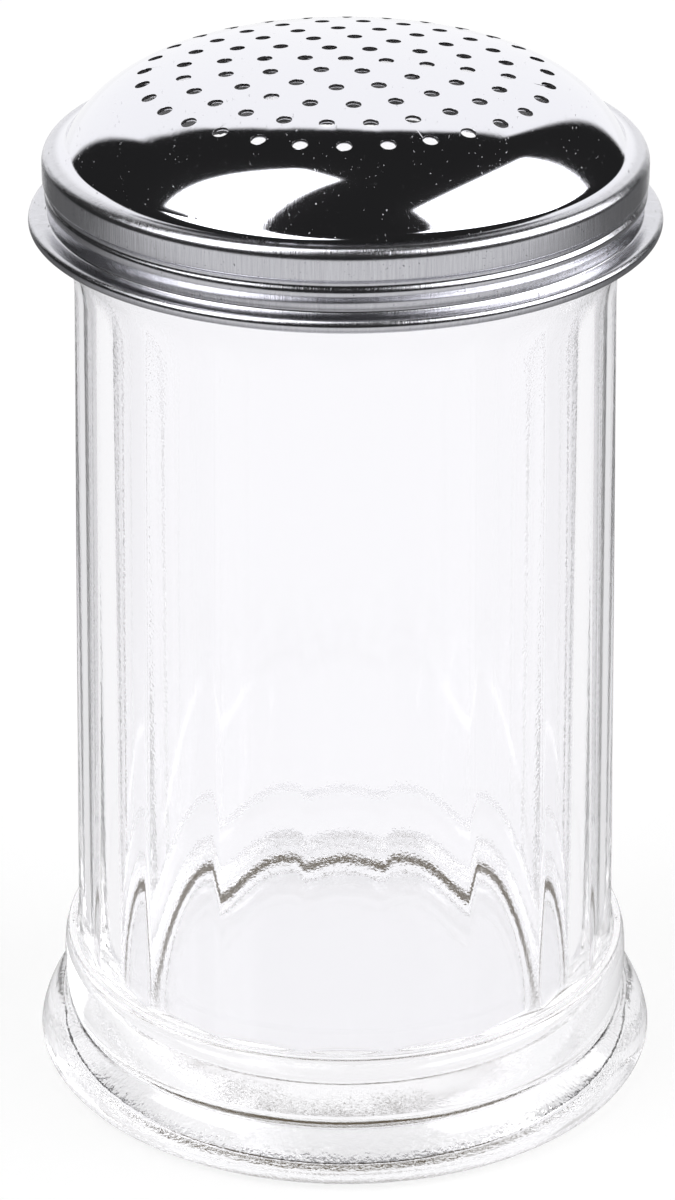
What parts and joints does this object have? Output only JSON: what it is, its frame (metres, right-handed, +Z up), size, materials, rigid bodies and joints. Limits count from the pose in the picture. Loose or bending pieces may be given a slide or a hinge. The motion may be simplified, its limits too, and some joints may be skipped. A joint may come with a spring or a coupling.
{
  "type": "table shaker",
  "caption": "Fluted clear-glass table shaker with a flared foot and a screw-on domed stainless lid pierced with rings of small holes.",
  "frame": {"origin": "centre of the jar's foot, on the surface that it stands on", "axes": "+Z up along the jar's axis to the middle of the dome; -Y is the side seen first, with a flute facing it"},
  "size_m": [0.0836, 0.0836, 0.1391],
  "materials": {
    "clear_glass": "clear pressed glass, fire-polished, slightly uneven",
    "stainless_lid": "mirror-polished dome, satin bead, skirt and rim"
  },
  "bodies": {
    "jar": {"glass_jar": "clear_glass"},
    "lid": {"shaker_lid": "stainless_lid"}
  },
  "joints": [
    {"name": "lid_lift", "type": "slide", "parent": "jar", "child": "lid", "axis": [0, 0, 1], "range_m": [0, 0.035]}
  ]
}
